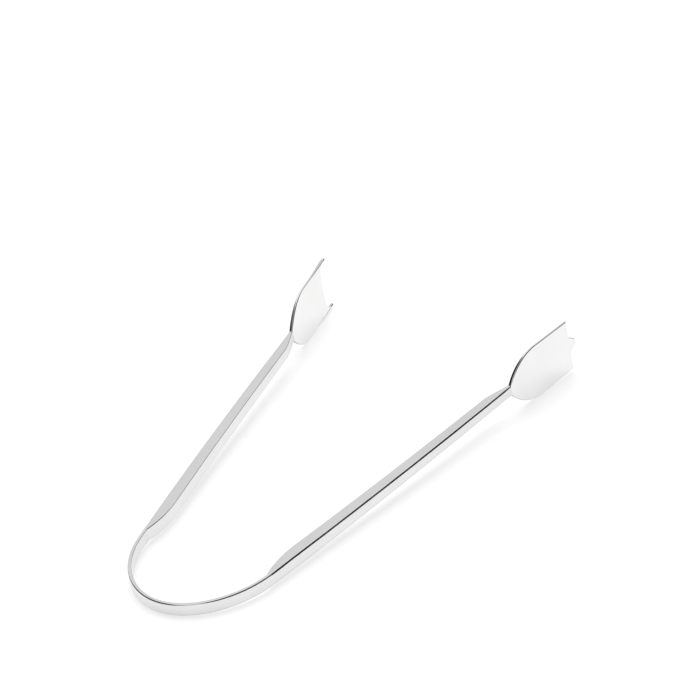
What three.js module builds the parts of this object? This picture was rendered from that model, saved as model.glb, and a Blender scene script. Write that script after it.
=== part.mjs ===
// Ice tongs made in one piece of polished stainless steel, lying on a table as they rest when put down.
// A thin sprung bow joins two solid tapered arms. Each arm ends in a wide flat claw: the right one has
// a single tooth, the left one a bay between two horns, so that the ends interlock on a piece of ice.
// The steel is divided where it bends and where its section changes, with a fine gap at each division.
// Millimetres and degrees. +Y runs from the bow to the claws, +X to the right arm, +Z up from the table.

import * as THREE from 'three';

// Overall shape
const overallLength = 178;
const spreadAngle = 10.1;
const armBackCurve = 2.8;

// Bow
const bowCrownRadius = 20.7;
const bowSideRadius = 39;
const bowThickness = 1.4;
const bowHeight = 4.6;

// Arms
const rightShoulderLead = 2;
const leftShoulderLead = -4.5;
const shoulderLength = 17;
const shoulderDepth = 4.9;
const shoulderHeight = 4.8;
const neckDepth = 3.7;
const neckHeight = 3.9;
const neckTaperLength = 10;
const neckTaperCurve = 1.3;
const neckThickness = 1.3;

// Claws
const clawThickness = 0.9;
const clawHeight = 20;
const clawTipTaper = 0.5;
const clawFlareLength = 14;
const flareStartAngle = 57;
const flareStartPull = 3.1;
const flareEndPull = 7.7;
const rightClawToeOut = 1.6;
const rightClawLength = 30.3;
const toothLength = 2.8;
const toothRootWidth = 6.2;
const toothTipWidth = 2.0;
const leftClawToeOut = 3.4;
const leftClawLength = 33;
const bayDepth = 4.9;
const bayFloorWidth = 9;
const hornTipWidth = 0.5;

// Edges and divisions
const barEdgeRound = 0.35;
const sheetEdgeRound = 0.16;
const divisionGap = 0.3;

const radians = THREE.MathUtils.degToRad;
const smooth = (u) => u * u * (3 - 2 * u);
const mix = (from, to, u) => from + (to - from) * u;

// The outer edge of the right half, followed from the middle of the bow to the neck.
// Its heading turns from straight across (90 degrees) to nearly straight along the tongs.
const bowSweep = radians(90 - spreadAngle);
const bowHalfLength = bowSweep * (bowCrownRadius + bowSideRadius) / 2;
const neckHeading = spreadAngle - armBackCurve;
const clawTipHeight = clawHeight - clawTipTaper;
const rightClawHeading = neckHeading + rightClawToeOut;
const leftClawHeading = neckHeading + leftClawToeOut;

const bowLine = [];
const bowSteps = 400;
let bowX = 0;
let bowY = 0;
let bowS = 0;
for (let i = 0; i <= bowSteps; i += 1) {
  bowLine.push({ s: bowS, x: bowX, y: bowY, heading: radians(90) - bowSweep * i / bowSteps });
  const middle = (i + 0.5) / bowSteps;
  const stepLength = mix(bowCrownRadius, bowSideRadius, smooth(middle)) * bowSweep / bowSteps;
  const stepHeading = radians(90) - bowSweep * middle;
  bowX += stepLength * Math.sin(stepHeading);
  bowY += stepLength * Math.cos(stepHeading);
  bowS += stepLength;
}
const bowEnd = bowLine[bowSteps];

// The arms take what length the bow and the right claw leave.
const clawRun = (rightClawLength + toothLength) * Math.cos(radians(rightClawHeading));
const armRun = overallLength - bowEnd.y - clawRun;
const armStretch = radians(armBackCurve)
  / (Math.sin(radians(spreadAngle)) - Math.sin(radians(neckHeading)));
const armLength = armRun * armStretch;
const halfLength = bowHalfLength + armLength;

const halfLine = [...bowLine];
const armSteps = 480;
for (let i = 0; i < armSteps; i += 1) {
  const last = halfLine[halfLine.length - 1];
  const stepHeading = radians(spreadAngle - armBackCurve * (i + 0.5) / armSteps);
  halfLine.push({
    s: bowHalfLength + armLength * (i + 1) / armSteps,
    x: last.x + armLength / armSteps * Math.sin(stepHeading),
    y: last.y + armLength / armSteps * Math.cos(stepHeading),
    heading: radians(spreadAngle - armBackCurve * (i + 1) / armSteps),
  });
}

// A place on the outer edge at distance s from the middle of the bow, which is negative on the left.
function outerEdge(s) {
  const distance = Math.min(Math.abs(s), halfLength);
  let next = halfLine.findIndex((place) => place.s >= distance - 1e-9);
  next = Math.max(next, 1);
  const a = halfLine[next - 1];
  const b = halfLine[next];
  const share = (distance - a.s) / (b.s - a.s);
  const heading = mix(a.heading, b.heading, share);
  const side = s < 0 ? -1 : 1;
  return {
    x: side * mix(a.x, b.x, share),
    y: mix(a.y, b.y, share),
    inX: -side * Math.cos(heading),
    inY: Math.sin(heading),
  };
}

// Depth, from the outer face to the inner face. It is thin in the bow, swells over the shoulder, which
// starts at its lead before the bow's end, then falls slowly along the arm and fast to the thin neck.
const shoulderSkew = 0.55;
function depthAt(s) {
  const lead = s < 0 ? leftShoulderLead : rightShoulderLead;
  const along = Math.abs(s) - bowHalfLength + lead;
  const taperStart = armLength + lead - neckTaperLength;
  const bar = mix(shoulderDepth, neckDepth, THREE.MathUtils.clamp(along / taperStart, 0, 1));
  const rise = smooth(THREE.MathUtils.clamp(along / shoulderLength, 0, 1) ** shoulderSkew);
  const fall = Math.max(0, along - taperStart) / neckTaperLength;
  return mix(mix(bowThickness, bar, rise), neckThickness, fall ** neckTaperCurve);
}

// Height of the bar: the strip's own height, a little more at the shoulder, and least at the neck.
function heightAt(s) {
  const along = Math.abs(s) - bowHalfLength;
  const crest = 0.6 * shoulderLength;
  if (along <= 0) return bowHeight;
  if (along < crest) return mix(bowHeight, shoulderHeight, smooth(along / crest));
  return mix(shoulderHeight, neckHeight, Math.min(1, (along - crest) / (armLength - crest)));
}

// Steel bar or strip between two places on the outer edge, with rounded edges.
function barGeometry(from, to) {
  const places = [from];
  const ahead = (s) => {
    const along = Math.abs(s) - bowHalfLength;
    const curved = along < shoulderLength + 4 || along > armLength - neckTaperLength - 2;
    return curved ? 1.3 : 4;
  };
  while (places[places.length - 1] + 1.5 * ahead(places[places.length - 1]) < to) {
    places.push(places[places.length - 1] + ahead(places[places.length - 1]));
  }
  places.push(to);
  const outer = [];
  const inner = [];
  for (const s of places) {
    const edge = outerEdge(s);
    const depth = depthAt(s);
    outer.push(new THREE.Vector2(edge.x, edge.y));
    inner.push(new THREE.Vector2(edge.x + edge.inX * depth, edge.y + edge.inY * depth));
  }
  const plan = new THREE.Shape([...outer, ...inner.reverse()]);
  const geometry = new THREE.ExtrudeGeometry(plan, {
    depth: 2,
    bevelEnabled: true,
    bevelSize: barEdgeRound,
    bevelThickness: barEdgeRound,
    bevelOffset: -barEdgeRound,
    bevelSegments: 3,
  });

  // The walls are stretched to the height that the bar has at each place; the rounded edges keep their size.
  const position = geometry.attributes.position;
  for (let i = 0; i < position.count; i += 1) {
    const x = position.getX(i);
    const y = position.getY(i);
    let nearest = from;
    let least = Infinity;
    for (const s of places) {
      const edge = outerEdge(s);
      const depth = depthAt(s);
      const offX = x - edge.x;
      const offY = y - edge.y;
      const inward = THREE.MathUtils.clamp(offX * edge.inX + offY * edge.inY, 0, depth);
      const gap = Math.hypot(offX - inward * edge.inX, offY - inward * edge.inY);
      if (gap < least) {
        least = gap;
        nearest = s;
      }
    }
    const z = position.getZ(i) - 1;
    const half = heightAt(nearest) / 2;
    const wall = half - barEdgeRound;
    position.setZ(i, Math.sign(z) * (wall + Math.max(0, Math.abs(z) - 1)));
  }
  return geometry;
}

// Outline of a claw seen from the side, from the neck (0, 0) forwards. It widens from the neck in a
// full curve on each side, and endPoints run along its end from the lower corner to the upper one.
function clawShape(endPoints) {
  const half = clawHeight / 2;
  const neckHalf = neckHeight / 2;
  const startX = flareStartPull * Math.cos(radians(flareStartAngle));
  const startZ = neckHalf + flareStartPull * Math.sin(radians(flareStartAngle));
  const endX = clawFlareLength - flareEndPull;
  const shape = new THREE.Shape();
  shape.moveTo(0, -neckHalf);
  shape.bezierCurveTo(startX, -startZ, endX, -half, clawFlareLength, -half);
  for (const point of endPoints) shape.lineTo(point.x, point.y);
  shape.lineTo(clawFlareLength, half);
  shape.bezierCurveTo(endX, half, startX, startZ, 0, neckHalf);
  return shape;
}

// The right claw's straight end carries one blunt tooth in its middle.
const toothEnd = [
  new THREE.Vector2(rightClawLength, -clawTipHeight / 2),
  new THREE.Vector2(rightClawLength, -toothRootWidth / 2),
  new THREE.Vector2(rightClawLength + toothLength, -toothTipWidth / 2),
  new THREE.Vector2(rightClawLength + toothLength, toothTipWidth / 2),
  new THREE.Vector2(rightClawLength, toothRootWidth / 2),
  new THREE.Vector2(rightClawLength, clawTipHeight / 2),
];

// The left claw's end is a bay with a flat floor and hollow flanks, which leaves a slender horn at
// each corner.
const bayFloor = leftClawLength - bayDepth;
const hornRoot = bayFloorWidth / 2;
const hornInner = clawTipHeight / 2 - hornTipWidth;
const bayFlank = new THREE.CubicBezierCurve(
  new THREE.Vector2(bayFloor, hornRoot),
  new THREE.Vector2(bayFloor, mix(hornRoot, hornInner, 0.5)),
  new THREE.Vector2(mix(bayFloor, leftClawLength, 0.15), mix(hornRoot, hornInner, 0.97)),
  new THREE.Vector2(leftClawLength, hornInner),
);
const upperHorn = [...bayFlank.getPoints(8), new THREE.Vector2(leftClawLength, clawTipHeight / 2)];
const lowerHorn = upperHorn.map((point) => new THREE.Vector2(point.x, -point.y)).reverse();
const bayEnd = [...lowerHorn, ...upperHorn];

function clawGeometry(endPoints) {
  return new THREE.ExtrudeGeometry(clawShape(endPoints), {
    depth: clawThickness - 2 * sheetEdgeRound,
    bevelEnabled: true,
    bevelSize: sheetEdgeRound,
    bevelThickness: sheetEdgeRound,
    bevelOffset: -sheetEdgeRound,
    bevelSegments: 2,
    curveSegments: 14,
  });
}

const steel = { color: 0xd9dadb, metalness: 1, roughness: 0.22 };

function namedMesh(name, geometry) {
  const mesh = new THREE.Mesh(geometry, new THREE.MeshStandardMaterial(steel));
  mesh.name = name;
  return mesh;
}

const tongs = new THREE.Group();

// The bow bends at four places, a quarter and three quarters of the way along each half.
const innerBend = bowHalfLength / 4;
const outerBend = 3 * bowHalfLength / 4;
const halfGap = divisionGap / 2;
const neckPlace = halfLength - divisionGap;
tongs.add(namedMesh('bow_crown', barGeometry(-innerBend + halfGap, innerBend - halfGap)));
tongs.add(namedMesh('right_bow', barGeometry(innerBend + halfGap, outerBend - halfGap)));
tongs.add(namedMesh('left_bow', barGeometry(-outerBend + halfGap, -innerBend - halfGap)));
tongs.add(namedMesh('right_arm', barGeometry(outerBend + halfGap, neckPlace)));
tongs.add(namedMesh('left_arm', barGeometry(-neckPlace, -outerBend - halfGap)));

// Each claw carries on the outer face of its arm, toed out a little.
const neck = outerEdge(halfLength);
const up = new THREE.Vector3(0, 0, 1);
function addClaw(name, endPoints, side, heading) {
  const forward = new THREE.Vector3(side * Math.sin(radians(heading)), Math.cos(radians(heading)), 0);
  const across = new THREE.Vector3().crossVectors(forward, up);
  const claw = namedMesh(name, clawGeometry(endPoints));
  claw.quaternion.setFromRotationMatrix(new THREE.Matrix4().makeBasis(forward, up, across));
  const lowerFace = side > 0 ? sheetEdgeRound - clawThickness : sheetEdgeRound;
  claw.position.set(side * neck.x, neck.y, 0).addScaledVector(across, lowerFace);
  tongs.add(claw);
}
addClaw('right_claw', toothEnd, 1, rightClawHeading);
addClaw('left_claw', bayEnd, -1, leftClawHeading);

// At rest the tongs lie on the bow's lower edge and on the heels of the wider claws.
const heelY = neck.y + clawFlareLength * Math.cos(radians(rightClawHeading));
tongs.rotation.x = Math.atan2((clawHeight - bowHeight) / 2, heelY);

const iceTongs = new THREE.Group();
iceTongs.add(tongs);
iceTongs.updateMatrixWorld(true);
const extent = new THREE.Box3().setFromObject(iceTongs, true);
const middle = extent.getCenter(new THREE.Vector3());
tongs.position.set(-middle.x, -middle.y, -extent.min.z);
iceTongs.updateMatrixWorld(true);

export default iceTongs;
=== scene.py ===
import bpy
import math
import numpy as np
from mathutils import Matrix, Vector


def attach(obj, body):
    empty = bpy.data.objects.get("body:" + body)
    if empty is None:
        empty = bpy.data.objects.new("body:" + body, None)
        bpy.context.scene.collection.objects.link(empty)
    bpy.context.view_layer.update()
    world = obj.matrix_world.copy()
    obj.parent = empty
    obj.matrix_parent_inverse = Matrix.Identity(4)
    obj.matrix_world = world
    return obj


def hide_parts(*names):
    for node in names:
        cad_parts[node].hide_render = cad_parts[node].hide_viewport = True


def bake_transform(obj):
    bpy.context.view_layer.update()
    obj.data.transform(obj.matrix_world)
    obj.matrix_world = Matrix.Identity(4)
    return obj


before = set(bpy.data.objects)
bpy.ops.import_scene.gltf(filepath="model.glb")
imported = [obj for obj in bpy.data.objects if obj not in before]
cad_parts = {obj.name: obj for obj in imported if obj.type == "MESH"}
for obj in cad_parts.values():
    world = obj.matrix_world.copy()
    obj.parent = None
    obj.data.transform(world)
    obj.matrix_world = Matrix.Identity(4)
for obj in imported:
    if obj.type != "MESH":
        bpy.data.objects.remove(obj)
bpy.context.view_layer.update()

# The camera stands off the bow's right, well above the table, and looks along the tongs towards the
# claws with a long lens, so that both arms are seen from end to end with the bow at the lower left.
camera_azimuth = math.radians(38.328)
camera_height = math.radians(32.072)
camera_roll = math.radians(-8.825)
camera_distance = 2.398
aim = Vector((-0.029394, 0.068206, 0.0))
towards_camera = Vector((
    math.sin(camera_azimuth) * math.cos(camera_height),
    -math.cos(camera_azimuth) * math.cos(camera_height),
    math.sin(camera_height),
))
lens = bpy.data.cameras.new("camera")
lens.lens = 360
lens.sensor_width = 36
lens.clip_end = 20
camera = bpy.data.objects.new("camera", lens)
bpy.context.scene.collection.objects.link(camera)
turn = towards_camera.to_track_quat("Z", "Y").to_matrix().to_4x4()
camera.matrix_world = (
    Matrix.Translation(aim + towards_camera * camera_distance)
    @ turn @ Matrix.Rotation(camera_roll, 4, "Z")
)
bpy.context.scene.camera = camera
bpy.context.scene.view_settings.view_transform = "Standard"


# The table is a wide sheet of plain matt white board, seamless and a little uneven in tone, and lit a
# little from beneath, so that shadows on it stay faint. The tongs lie on it, and it lights their sides.
class Shade:
    """A shader socket. Adding to it, multiplying it or taking it from something adds a Math node."""

    def __init__(self, tree, socket=None):
        self.tree = tree
        self.socket = socket

    def make(self, kind, settings, inputs, out=0):
        """A node of this kind, with its settings made first and then its inputs set or linked."""
        node = self.tree.nodes.new(kind)
        for name, value in settings.items():
            setattr(node, name, value)
        for key, value in inputs.items():
            if isinstance(value, Shade):
                self.tree.links.new(value.socket, node.inputs[key])
            else:
                node.inputs[key].default_value = value
        return Shade(self.tree, node.outputs[out]) if len(node.outputs) else node

    def maths(self, operation, *values):
        return self.make("ShaderNodeMath", {"operation": operation}, dict(enumerate(values)))

    def __add__(self, other):
        return self.maths("ADD", self, other)

    __radd__ = __add__

    def __rsub__(self, other):
        return self.maths("SUBTRACT", other, self)

    def __mul__(self, other):
        return self.maths("MULTIPLY", self, other)

    __rmul__ = __mul__

    def step(self, low, high, bottom=0.0, top=1.0):
        """Rises smoothly from bottom to top as the socket goes from low to high."""
        settings = {"interpolation_type": "SMOOTHSTEP"}
        return self.make("ShaderNodeMapRange", settings, {0: self, 1: low, 2: high, 3: bottom, 4: top})

    def blend(self, first, second):
        """The first colour where the socket is 0 and the second where it is 1. In a Mix node for colours
        these are inputs 6 and 7, and the result is output 2."""
        settings = {"data_type": "RGBA"}
        return self.make("ShaderNodeMix", settings, {0: self, 6: first, 7: second}, 2)


def new_material(name):
    """An empty material, and a Shade that adds nodes to it."""
    material = bpy.data.materials.new(name)
    material.use_nodes = True
    material.node_tree.nodes.clear()
    return material, Shade(material.node_tree)


table_half_width = 2.5
table_drop = 0.0001
board_darker = (0.38, 0.38, 0.38, 1)
board_lighter = (0.40, 0.40, 0.40, 1)
board_glow = 0.68
board = bpy.data.meshes.new("table")
corners = np.array([[-1, -1, 0], [1, -1, 0], [1, 1, 0], [-1, 1, 0]], float) * table_half_width
board.from_pydata(corners.tolist(), [], [(0, 1, 2, 3)])
table = bpy.data.objects.new("table", board)
bpy.context.scene.collection.objects.link(table)
table.location.z = -table_drop
table_white, shader = new_material("table_white")
board_place = shader.make("ShaderNodeTexCoord", {}, {}, "Object")
mottle = shader.make("ShaderNodeTexNoise", {}, {"Vector": board_place, "Scale": 6.0, "Detail": 2.0})
board_finish = shader.make("ShaderNodeBsdfPrincipled", {}, {
    "Base Color": mottle.blend(board_darker, board_lighter),
    "Roughness": 0.9,
    "Specular IOR Level": 0.1,
    "Emission Color": (1, 1, 1, 1),
    "Emission Strength": board_glow,
})
shader.make("ShaderNodeOutputMaterial", {}, {"Surface": board_finish})
board.materials.append(table_white)

# Studio light: a bright white tent with openings, which a polished bar shows as dark lines: a wide one on
# the right, a narrower one on the left and a small low one in front. The far wall is a little grey and the
# tent dims near the table. A broad lamp overhead, a little left and beyond, lays faint soft shadows.
tent_brightness = 1.08
plain_background = 1.1
near_table_loss = 0.4
near_table_rise = (0.04, 0.20)
lamp_power = 1.7
lamp_spread = math.radians(50)
towards_lamp = Vector((-0.16, 0.36, 1.0))
# Each dark place: heading, height, and where it is full and gone, in degrees, and the share of light lost.
dark_places = {
    "right opening": (-3, 36, 42, 50, 0.975),
    "left opening": (212, 24, 34, 46, 0.98),
    "far right": (66, 24, 12, 30, 0.5),
    "front opening": (255, 8, 18, 30, 0.95),
    "far wall": (128, 34, 16, 40, 0.23),
    "foot of the far wall": (126, 2, 12, 26, 0.3),
}
surround = bpy.data.worlds.new("tent")
bpy.context.scene.world = surround
surround.use_nodes = True
surround.node_tree.nodes.clear()
shader = Shade(surround.node_tree)
direction = shader.make("ShaderNodeTexCoord", {}, {}, "Generated")
split = shader.make("ShaderNodeSeparateXYZ", {}, {"Vector": direction})
across, along, rise = (Shade(shader.tree, output) for output in split.socket.node.outputs)


def patch(heading, height, full, gone):
    """1 within full degrees of a direction, given by its compass heading from +X and its height in degrees,
    falling smoothly to 0 at gone degrees. It is the dot product of the two directions, in a smooth step."""
    heading, height = math.radians(heading), math.radians(height)
    level = across * (math.cos(heading) * math.cos(height)) + along * (math.sin(heading) * math.cos(height))
    return (level + rise * math.sin(height)).step(math.cos(math.radians(gone)), math.cos(math.radians(full)))


tent_light = tent_brightness
for heading, height, full, gone, loss in dark_places.values():
    tent_light = tent_light * (1 - loss * patch(heading, height, full, gone))
tent_light = tent_light * (1 - near_table_loss * rise.step(*near_table_rise, 1.0, 0.0))
seen = shader.make("ShaderNodeLightPath", {}, {}, "Is Camera Ray")
tent_shown = shader.make(
    "ShaderNodeMix", {"data_type": "FLOAT"}, {0: seen, 2: tent_light, 3: plain_background})
glow = shader.make("ShaderNodeBackground", {}, {"Color": (1, 1, 1, 1), "Strength": tent_shown})
shader.make("ShaderNodeOutputWorld", {}, {"Surface": glow})

lamp = bpy.data.lights.new("lamp", "SUN")
lamp.energy = lamp_power
lamp.angle = lamp_spread
lamp_object = bpy.data.objects.new("lamp", lamp)
bpy.context.scene.collection.objects.link(lamp_object)
lamp_object.rotation_euler = towards_lamp.to_track_quat("Z", "Y").to_euler()
lamp_object.visible_glossy = False

# The bow is a thin strip of the same steel as the arms, stood on its edge, bent round into a deep loop and
# left springy, so that it opens the tongs again. Its edges are rounded by tumbling and polishing.
sides = (("right", 1), ("left", -1))
overall_length = 178
spread_angle = math.radians(10.1)
arm_back_curve = math.radians(2.8)
bow_crown_radius = 20.7
bow_side_radius = 39
bow_thickness = 1.4
bow_height = 4.6
shoulder_leads = {1: 2, -1: -4.5}
shoulder_length = 17
shoulder_skew = 0.55
shoulder_depth = 4.9
shoulder_height = 4.8
shoulder_crest = 0.6 * shoulder_length
neck_depth = 3.7
neck_height = 3.9
neck_taper_length = 10
neck_taper_curve = 1.3
neck_thickness = 1.3
claw_height = 20
claw_flare_length = 14
right_claw_length = 30.3
tooth_length = 2.8
outer_edge_radius = 0.9
inner_edge_radius = 0.4
outer_edge_share = 0.40
inner_edge_share = 0.26
edge_arc_steps = 7
toe_outs = {"right": math.radians(1.6), "left": math.radians(3.4)}
neck_heading = spread_angle - arm_back_curve
claw_headings = {side_name: neck_heading + toe_out for side_name, toe_out in toe_outs.items()}
up = np.array([0, 0, 1.0])


def smooth(u):
    return u * u * (3 - 2 * u)


def mix(low, high, u):
    return low + (high - low) * u


bow_sweep = math.pi / 2 - spread_angle
bow_half = bow_sweep * (bow_crown_radius + bow_side_radius) / 2
line_steps = 4000
step_middle = (np.arange(line_steps) + 0.5) / line_steps
step_length = mix(bow_crown_radius, bow_side_radius, smooth(step_middle)) * bow_sweep / line_steps
step_heading = math.pi / 2 - bow_sweep * step_middle
bow_end_y = np.sum(step_length * np.cos(step_heading))
claw_run = (right_claw_length + tooth_length) * math.cos(claw_headings["right"])
arm_length = (
    (overall_length - bow_end_y - claw_run) * arm_back_curve
    / (math.sin(spread_angle) - math.sin(neck_heading))
)
half_length = bow_half + arm_length
all_lengths = np.concatenate([step_length, np.full(line_steps, arm_length / line_steps)])
all_headings = np.concatenate([step_heading, spread_angle - arm_back_curve * step_middle])
line_s = np.concatenate([[0], np.cumsum(all_lengths)])
line_x = np.concatenate([[0], np.cumsum(all_lengths * np.sin(all_headings))])
line_y = np.concatenate([[0], np.cumsum(all_lengths * np.cos(all_headings))])
line_heading = np.concatenate([
    math.pi / 2 - bow_sweep * np.arange(line_steps) / line_steps,
    spread_angle - arm_back_curve * np.arange(line_steps + 1) / line_steps,
])
heel_y = line_y[-1] + claw_flare_length * math.cos(claw_headings["right"])
lie = math.atan2((claw_height - bow_height) / 2, heel_y)
shift = np.array([0.50057, -89.01539, 2.29731])


def lay_down(points):
    """Millimetres in the tongs' own flat plane to metres on the table: turned about X and shifted."""
    x, y, z = points[..., 0], points[..., 1], points[..., 2]
    turned = [x, y * math.cos(lie) - z * math.sin(lie), y * math.sin(lie) + z * math.cos(lie)]
    return (np.stack(turned, -1) + shift) / 1000


def lean(vectors):
    """The same turn for directions."""
    x, y, z = vectors[..., 0], vectors[..., 1], vectors[..., 2]
    return np.stack([x, y * math.cos(lie) - z * math.sin(lie), y * math.sin(lie) + z * math.cos(lie)], -1)


def outer_line(s, side):
    """Places, inward directions and forward directions along the outer edge, s millimetres from the bow's
    middle. The heading falls evenly from square across to nearly straight along while the radius grows."""
    away = np.abs(s)
    mirror = side * np.where(s < 0, -1, 1)
    heading = np.interp(away, line_s, line_heading)
    place = np.stack([mirror * np.interp(away, line_s, line_x), np.interp(away, line_s, line_y), 0 * s], -1)
    inward = np.stack([-mirror * np.cos(heading), np.sin(heading), 0 * s], -1)
    forward = np.stack([side * np.sin(heading), np.where(s < 0, -1, 1) * np.cos(heading), 0 * s], -1)
    return place, inward, forward


def depth_at(s, side):
    """Outer face to inner face: thin in the bow, swelling over the shoulder, thin again at the neck."""
    along = np.abs(s) - bow_half + shoulder_leads[side]
    taper_start = arm_length + shoulder_leads[side] - neck_taper_length
    bar = mix(shoulder_depth, neck_depth, np.clip(along / taper_start, 0, 1))
    swell = smooth(np.clip(along / shoulder_length, 0, 1) ** shoulder_skew)
    fall = np.maximum(0, along - taper_start) / neck_taper_length
    return mix(mix(bow_thickness, bar, swell), neck_thickness, fall ** neck_taper_curve)


def height_at(s):
    """Height of the bar: the strip's own, a little more at the shoulder, least at the neck."""
    along = np.abs(s) - bow_half
    before = mix(bow_height, shoulder_height, smooth(np.clip(along / shoulder_crest, 0, 1)))
    past_crest = np.clip((along - shoulder_crest) / (arm_length - shoulder_crest), 0, 1)
    return np.where(along < shoulder_crest, before, mix(shoulder_height, neck_height, past_crest))


def edge_ring(depth, height, outer_radius, inner_radius, side_steps):
    """The rounded oblong of each cross-section, from its lower edge up the outer face and down the inner
    one: an arc, a straight run of side_steps shares and an arc, then the same mirrored. Returns places
    (inward, up) and the surface's directions there (inward, up)."""
    turn = np.linspace(0, math.pi / 2, edge_arc_steps)
    halves = []
    for radius in (outer_radius[:, None], inner_radius[:, None]):
        low_d, low_z = radius * (1 - np.sin(turn)), -height[:, None] / 2 + radius * (1 - np.cos(turn))
        side_z = side_steps[None, :] * (height[:, None] / 2 - radius)
        high_d, high_z = radius * (1 - np.cos(turn)), height[:, None] / 2 - radius * (1 - np.sin(turn))
        halves.append((
            np.concatenate([low_d, 0 * side_z, high_d], 1), np.concatenate([low_z, side_z, high_z], 1)))
    (outer_d, outer_z), (inner_d, inner_z) = halves
    flat = 0 * side_steps
    out_d = np.concatenate([-np.sin(turn), flat - 1, -np.cos(turn)])
    out_z = np.concatenate([-np.cos(turn), flat, np.sin(turn)])
    ring_d = np.concatenate([outer_d, depth[:, None] - inner_d[:, ::-1]], 1)
    ring_z = np.concatenate([outer_z, inner_z[:, ::-1]], 1)
    face_d = np.concatenate([out_d, -out_d[::-1]])
    face_z = np.concatenate([out_z, out_z[::-1]])
    return ring_d, ring_z, face_d, face_z


def bar_surface(s, side, side_steps):
    """Ring after ring of the bar along s: outer edge + inward * depth + up * height. Each normal is the
    ring's own direction, leant back by the slope of the surface along the bar."""
    place, inward, forward = outer_line(s, side)
    depth, height = depth_at(s, side), height_at(s)
    outer_radius = np.minimum(outer_edge_radius, outer_edge_share * depth)
    inner_radius = np.minimum(inner_edge_radius, inner_edge_share * depth)
    ring_d, ring_z, face_d, face_z = edge_ring(depth, height, outer_radius, inner_radius, side_steps)
    points = place[:, None] + inward[:, None] * ring_d[..., None] + up * ring_z[..., None]
    faces = inward[:, None] * face_d[None, :, None] + up * face_z[None, :, None]
    change = np.gradient(points, s, axis=0)
    slope = np.sum(change * faces, -1) / np.sum(change * forward[:, None], -1)
    faces = faces - slope[..., None] * forward[:, None]
    faces /= np.linalg.norm(faces, axis=-1, keepdims=True)
    return points, faces


# Upper edges get this share of the edges' grey; the full grey on the lower edges is painted shade, standing
# in for the shadowed table that they reflect.
upper_edge_painted_shade_share = 0.6


def steel_piece(name, points, faces, run, side, caps, finish):
    """A closed skin from rings of points: a quad between each pair of neighbours, and each end closed by
    quads from the outer half of its ring to the inner half. run is the distance along the bar. The edge
    mark greys the long edges and is greatest where the surface leans at 45 degrees; upper edges get
    upper_edge_painted_shade_share of it, so the lower edges carry most: painted shade, standing in for
    the shadowed table that they reflect."""
    rows, ring = points.shape[:2]
    place, facing = lay_down(points), lean(faces)
    steepness = faces[..., 2] ** 2
    # Painted shade: the lower edges, which face the shadowed table, get the edge grey in full.
    edge_painted_shade_share = np.where(faces[..., 2] < 0, 1.0, upper_edge_painted_shade_share)
    i, k = np.meshgrid(np.arange(rows - 1), np.arange(ring), indexing="ij")
    after = (k + 1) % ring
    skin = np.stack([i * ring + k, i * ring + after, (i + 1) * ring + after, (i + 1) * ring + k], -1)
    skin = skin.reshape(-1, 4)
    j = np.arange(ring // 2 - 1)
    start_cap = np.stack([j, ring - 1 - j, ring - 2 - j, j + 1], -1)
    end_cap = (rows - 1) * ring + start_cap[:, ::-1]
    quads = np.concatenate([skin, start_cap, end_cap])
    normals = facing.reshape(-1, 3)[quads]
    first_way, last_way = [lean(cap) for cap in caps]
    normals[len(skin):len(skin) + len(j)] = first_way
    normals[len(skin) + len(j):] = last_way if last_way.ndim == 1 else last_way[:, None]
    around = np.concatenate([[0], np.cumsum(np.linalg.norm(np.diff(points, axis=1), axis=-1).mean(0))])
    around = np.append(around, around[-1] + around[1])
    lengthwise = np.broadcast_to(run[:, None], (rows, ring)).ravel()
    uv = np.stack([lengthwise[quads], around[:ring][quads % ring]], -1)
    uv[:len(skin), 1, 1] = uv[:len(skin), 2, 1] = around[k.ravel() + 1]
    if side > 0:
        quads, normals, uv = quads[:, ::-1], normals[:, ::-1], uv[:, ::-1]
    mesh = bpy.data.meshes.new(name)
    mesh.from_pydata(place.reshape(-1, 3).tolist(), [], quads.tolist())
    mesh.polygons.foreach_set("use_smooth", np.ones(len(quads), bool))
    mesh.normals_split_custom_set(normals.reshape(-1, 3).tolist())
    lay = mesh.uv_layers.new(name="grain")
    lay.data.foreach_set("uv", uv.ravel())
    # The edge mark: the long edges' grey, strongest on the lower edges as painted shade.
    edge_and_painted_shade_marks = mesh.attributes.new("edge", "FLOAT", "POINT")
    edge_and_painted_shade_marks.data.foreach_set("value", (4 * edge_painted_shade_share * steepness * (1 - steepness)).ravel())
    piece = bpy.data.objects.new(name, mesh)
    bpy.context.scene.collection.objects.link(piece)
    mesh.materials.append(finish)
    return piece


hairline_stretch = (0.12, 7.0, 1.0)
buffing_stretch = (0.10, 0.25, 1.0)
smear_scale = 70.0
# The grey of the long edges, put in by the edge mark; on the lower edges it is painted shade, standing in
# for the shadowed table that they reflect.
edge_grey_and_painted_shade = (0.36, 0.36, 0.359, 1)
edge_grey_and_painted_shade_share = 0.85
least_roughness = 0.12
smear_roughness = 0.07
edge_roughness = 0.03
relief_depth = 0.0002


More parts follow.
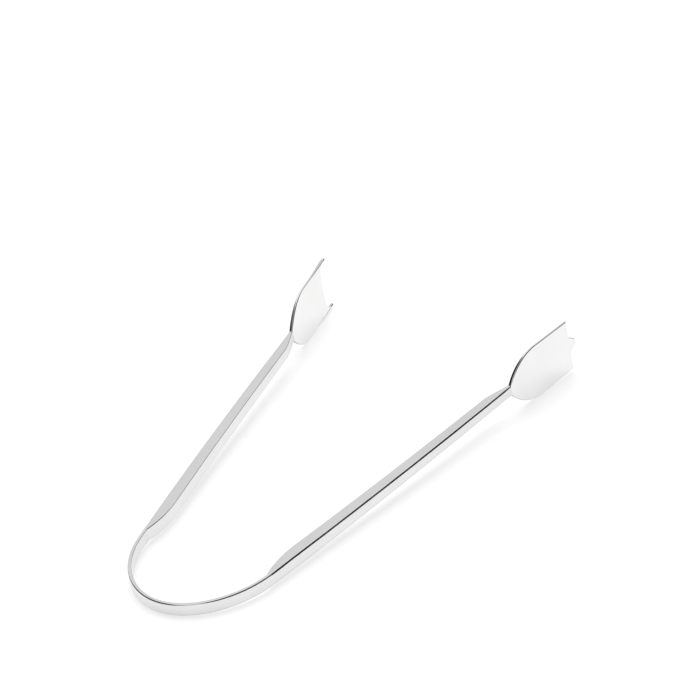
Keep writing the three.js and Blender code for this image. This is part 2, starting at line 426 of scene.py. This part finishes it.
def polished(name, dull, bright, hairlines):
    """Stainless steel, drawn lengthwise and then buffed: long faint hairlines, a slow waviness left by the
    buffing wheel, and soft smears where it has been handled. The long edges, which the wheel polishes
    least, are a little rougher. They are also painted greyer, the lower ones most: there the grey is
    painted shade, standing in for the shadowed table that they reflect."""
    material, shader = new_material(name)
    grain_place = shader.make("ShaderNodeUVMap", {"uv_map": "grain"}, {})
    drawn_out = shader.make("ShaderNodeMapping", {}, {"Vector": grain_place, "Scale": hairline_stretch})
    hairline = shader.make(
        "ShaderNodeTexNoise", {}, {"Vector": drawn_out, "Scale": 1.0, "Detail": 4.0, "Roughness": 0.7})
    long_wave = shader.make("ShaderNodeMapping", {}, {"Vector": grain_place, "Scale": buffing_stretch})
    buffing = shader.make("ShaderNodeTexNoise", {}, {"Vector": long_wave, "Scale": 1.0, "Detail": 2.0})
    handled = shader.make("ShaderNodeTexCoord", {}, {}, "Object")
    smear = shader.make("ShaderNodeTexNoise", {}, {"Vector": handled, "Scale": smear_scale, "Detail": 3.0})
    edge = shader.make("ShaderNodeAttribute", {"attribute_name": "edge"}, {}, "Fac")
    clean = hairline.step(0.3, 0.7, 0.0, 0.6) + smear.step(0.35, 0.7, 0.0, 0.4)
    face_tone = clean.blend(dull, bright)
    # Painted shade: the edge mark greys the tone of the long edges, the lower ones most.
    tone = edge.step(0.15, 0.8, 0.0, edge_grey_and_painted_shade_share).blend(face_tone, edge_grey_and_painted_shade)
    roughness = least_roughness + hairlines * hairline
    roughness = roughness + smear_roughness * smear.step(0.4, 0.7) + edge_roughness * edge
    relief = 0.6 * hairline + 2.0 * buffing
    bump = shader.make("ShaderNodeBump", {}, {"Strength": 0.10, "Distance": relief_depth, "Height": relief})
    steel = shader.make(
        "ShaderNodeBsdfPrincipled", {},
        {"Base Color": tone, "Metallic": 1.0, "Roughness": roughness, "Normal": bump})
    shader.make("ShaderNodeOutputMaterial", {}, {"Surface": steel})
    return material


satin_hairlines = 0.12
satin_steel = polished(
    "satin_steel", (0.735, 0.735, 0.733, 1), (0.815, 0.815, 0.813, 1), satin_hairlines)

# The rings stand where each stretch of the bar begins and ends and evenly between. The first few, before
# the bow's middle, are only there to give the surface its slope at the middle.
bow_side_steps = np.linspace(-0.999, 0.999, 6)
lead_in_length, lead_in_rows = 1.2, 4
strip_rows = 60
neck_start = half_length - neck_taper_length - 2
stretch_ends = [
    -lead_in_length, 0, bow_half / 2, bow_half, bow_half + shoulder_length, neck_start, half_length]
stretch_rows = [lead_in_rows, strip_rows, strip_rows, 80, 150, 60]
stretches = zip(stretch_ends, stretch_ends[1:], stretch_rows)
whole_s = np.concatenate([np.linspace(start, end, rows + 1)[:-1] for start, end, rows in stretches])
whole_s = np.append(whole_s, half_length)
inner_rows = slice(lead_in_rows, lead_in_rows + strip_rows + 1)
outer_rows = slice(lead_in_rows + strip_rows, lead_in_rows + 2 * strip_rows + 1)
arm_rows = slice(lead_in_rows + 2 * strip_rows, None)
blend_inset = 0.5


def blend_places(s_from, s_to, side):
    """Two places in the middle of the strip, set in a little from its ends."""
    s = np.array([s_from + blend_inset, s_to - blend_inset])
    place, inward, _ = outer_line(s, side)
    return lay_down(place + inward * bow_thickness / 2)


for side_name, side in sides:
    points, faces = bar_surface(whole_s, side, bow_side_steps)
    _, _, forward = outer_line(whole_s, side)
    flank = side_name + "_flank"
    for piece_name, rows, bodies, replaced in (
        ("bow_inner", inner_rows, ("crown", flank), ("bow_crown", side_name + "_bow")),
        ("bow_outer", outer_rows, (flank, side_name + "_side"), (side_name + "_bow",)),
    ):
        caps = (-forward[rows][0], forward[rows][-1])
        strip = steel_piece(
            side_name + "_" + piece_name, points[rows], faces[rows], whole_s[rows],
            side, caps, satin_steel)
        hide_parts(*replaced)
        ends = blend_places(whole_s[rows][0], whole_s[rows][-1], side)
        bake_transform(strip)

# Each arm is a solid bar of the same steel, forged thick at the shoulder and drawn down slowly to a thin
# neck, with its long edges rounded over. It is one piece with the bow and with its claw.
for side_name, side in sides:
    points, faces = bar_surface(whole_s, side, bow_side_steps)
    _, _, forward = outer_line(whole_s, side)
    caps = (-forward[arm_rows][0], forward[arm_rows][-1])
    arm = steel_piece(
        side_name + "_arm_bar", points[arm_rows], faces[arm_rows], whole_s[arm_rows],
        side, caps, satin_steel)
    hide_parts(side_name + "_arm")
    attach(arm, side_name + "_side")

# The claws are the arm ends beaten out into wide thin plates on edge. The right one ends straight across
# with one blunt tooth in its middle, and the left one in a bay between two slender horns.
claw_thickness = 0.9
sheet_edge_share = 0.42
neck_blend_length = 14
claw_tip_taper = 0.5
flare_start_angle = math.radians(57)
flare_start_pull = 3.1
flare_end_pull = 7.7
tooth_root_width = 6.2
tooth_tip_width = 2.0
left_claw_length = 33
bay_depth = 4.9
bay_floor_width = 9
horn_tip_width = 0.5
mirror_hairlines = 0.05
flare_steps = 200
flare_rows = 50
plate_rows = 40
end_slide_start = 0.35
highest_tooth_row = 9.3
tip_half = (claw_height - claw_tip_taper) / 2
claw_lengths = {"right": right_claw_length, "left": left_claw_length}


def curve(start, first, second, end, u):
    """A cubic curve: its four points weighted by the powers of u and 1 - u."""
    u = u[:, None]
    return (
        (1 - u) ** 3 * np.array(start) + 3 * (1 - u) ** 2 * u * np.array(first)
        + 3 * (1 - u) * u ** 2 * np.array(second) + u ** 3 * np.array(end)
    )


flare = curve(
    (0, neck_height / 2),
    (flare_start_pull * math.cos(flare_start_angle),
     neck_height / 2 + flare_start_pull * math.sin(flare_start_angle)),
    (claw_flare_length - flare_end_pull, claw_height / 2),
    (claw_flare_length, claw_height / 2),
    np.linspace(0, 1, flare_steps),
)
bay_floor_half = bay_floor_width / 2
horn_inner = tip_half - horn_tip_width
bay_flank = curve(
    (-bay_depth, bay_floor_half),
    (-bay_depth, mix(bay_floor_half, horn_inner, 0.5)),
    (mix(-bay_depth, 0, 0.15), mix(bay_floor_half, horn_inner, 0.97)),
    (0, horn_inner),
    np.linspace(0, 1, 23),
)


def end_reach(height, side_name):
    """How far the end stands forward of the straight end line at each height. The tooth stands out by its
    length and slopes back to the line, and the bay lies behind the line."""
    away = np.abs(height)
    if side_name == "right":
        root, tip = tooth_root_width / 2, tooth_tip_width / 2
        return tooth_length * np.clip((root - away) / (root - tip), 0, 1)
    return np.interp(away, bay_flank[:, 1], bay_flank[:, 0])


def both_faces(values):
    """The outer face's values up its height, then the same ones back down the inner face."""
    return np.concatenate([values, values[::-1]])


def claw_surface(side_name, side):
    """Rings along the plate: outer face + forward * along + inward * depth + up * height. From a third of
    the way along, the rings slide forward to the shape of the end, and the last ones close over it in a
    half round."""
    length = claw_lengths[side_name]
    edge_middle = tip_half - sheet_edge_share * claw_thickness
    if side_name == "right":
        marks, counts = [0, tooth_tip_width / 2, tooth_root_width / 2, highest_tooth_row], [4, 12, 24]
    else:
        marks, counts = [0, bay_floor_half], [14]
    upper = np.concatenate([np.linspace(a, b, n + 1)[:-1] for a, b, n in zip(marks, marks[1:], counts)])
    if side_name == "left":
        upper = np.concatenate([upper, bay_flank[:, 1]])
    highest = edge_middle - 0.01
    upper = np.append(upper[1:], highest)
    upper = np.unique(upper[upper <= highest])
    steps = np.concatenate([-upper[::-1], [0], upper]) / edge_middle
    flare_along = np.interp(np.linspace(0, 1, flare_rows), np.linspace(0, 1, flare_steps), flare[:, 0])
    along = np.concatenate([flare_along[:-1], np.linspace(claw_flare_length, length, plate_rows)])
    half = np.where(
        along < claw_flare_length,
        np.interp(along, flare[:, 0], flare[:, 1]),
        mix(claw_height / 2, tip_half, (along - claw_flare_length) / (length - claw_flare_length)),
    )
    thinned = smooth(np.clip(along / neck_blend_length, 0, 1))
    depth = mix(neck_thickness, claw_thickness, thinned)
    outer_radius = mix(outer_edge_share, sheet_edge_share, thinned) * depth
    inner_radius = mix(inner_edge_share, sheet_edge_share, thinned) * depth
    ring_d, ring_z, face_d, face_z = edge_ring(depth, 2 * half, outer_radius, inner_radius, steps)
    last_z = ring_z[-1]
    count = len(last_z) // 2
    end_a = length + end_reach(last_z[:count], side_name)
    bend_a, bend_z = np.gradient(end_a), np.gradient(last_z[:count])
    out_a, out_z = bend_z / np.hypot(bend_a, bend_z), -bend_a / np.hypot(bend_a, bend_z)
    half_plate = claw_thickness / 2
    inset_a = both_faces(end_a - out_a * half_plate)
    inset_z = both_faces(last_z[:count] - out_z * half_plate)
    slide = (along - end_slide_start * length) / ((1 - end_slide_start) * length)
    share = smooth(np.clip(slide, 0, 1))[:, None]
    place_a = along[:, None] + share * (inset_a - length)
    place_z = ring_z + share * (inset_z - last_z)
    close = np.linspace(math.pi / 2, 0.03, 7)[1:]
    end_a, out_a, out_z = both_faces(end_a), both_faces(out_a), both_faces(out_z)
    tip_a = end_a - out_a * half_plate * (1 - np.cos(close))[:, None]
    tip_z = last_z - out_z * half_plate * (1 - np.cos(close))[:, None]
    tip_d = half_plate + (ring_d[-1] - half_plate) * np.sin(close)[:, None]
    place_a, place_z = np.concatenate([place_a, tip_a]), np.concatenate([place_z, tip_z])
    place_d = np.concatenate([ring_d, tip_d])
    heading = claw_headings[side_name]
    root = np.array([side * line_x[-1], line_y[-1], 0])
    inward = np.array([-side * math.cos(heading), math.sin(heading), 0])
    forward = np.array([side * math.sin(heading), math.cos(heading), 0])
    points = root + forward * place_a[..., None] + inward * place_d[..., None] + up * place_z[..., None]
    faces = np.broadcast_to(inward * face_d[:, None] + up * face_z[:, None], points.shape).copy()
    plate = slice(0, len(along))
    widening = np.gradient(half, along)[:, None] * np.abs(face_z)
    faces[plate] = faces[plate] - widening[..., None] * forward
    which_face = np.sign(place_d[-1] - half_plate)
    endwise = out_a[:, None] * forward + out_z[:, None] * up
    spin = close[:, None, None]
    faces[len(along):] = endwise * np.cos(spin) + inward * which_face[:, None] * np.sin(spin)
    faces /= np.linalg.norm(faces, axis=-1, keepdims=True)
    return points, faces, half_length + place_a.mean(1), (-forward, endwise[:count - 1])


mirror_steel = polished(
    "mirror_steel", (0.82, 0.819, 0.817, 1), (0.89, 0.889, 0.887, 1), mirror_hairlines)
for side_name, side in sides:
    points, faces, run, caps = claw_surface(side_name, side)
    claw = steel_piece(side_name + "_claw_plate", points, faces, run, side, caps, mirror_steel)
    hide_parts(side_name + "_claw")
    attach(claw, side_name + "_side")

bpy.context.view_layer.update()
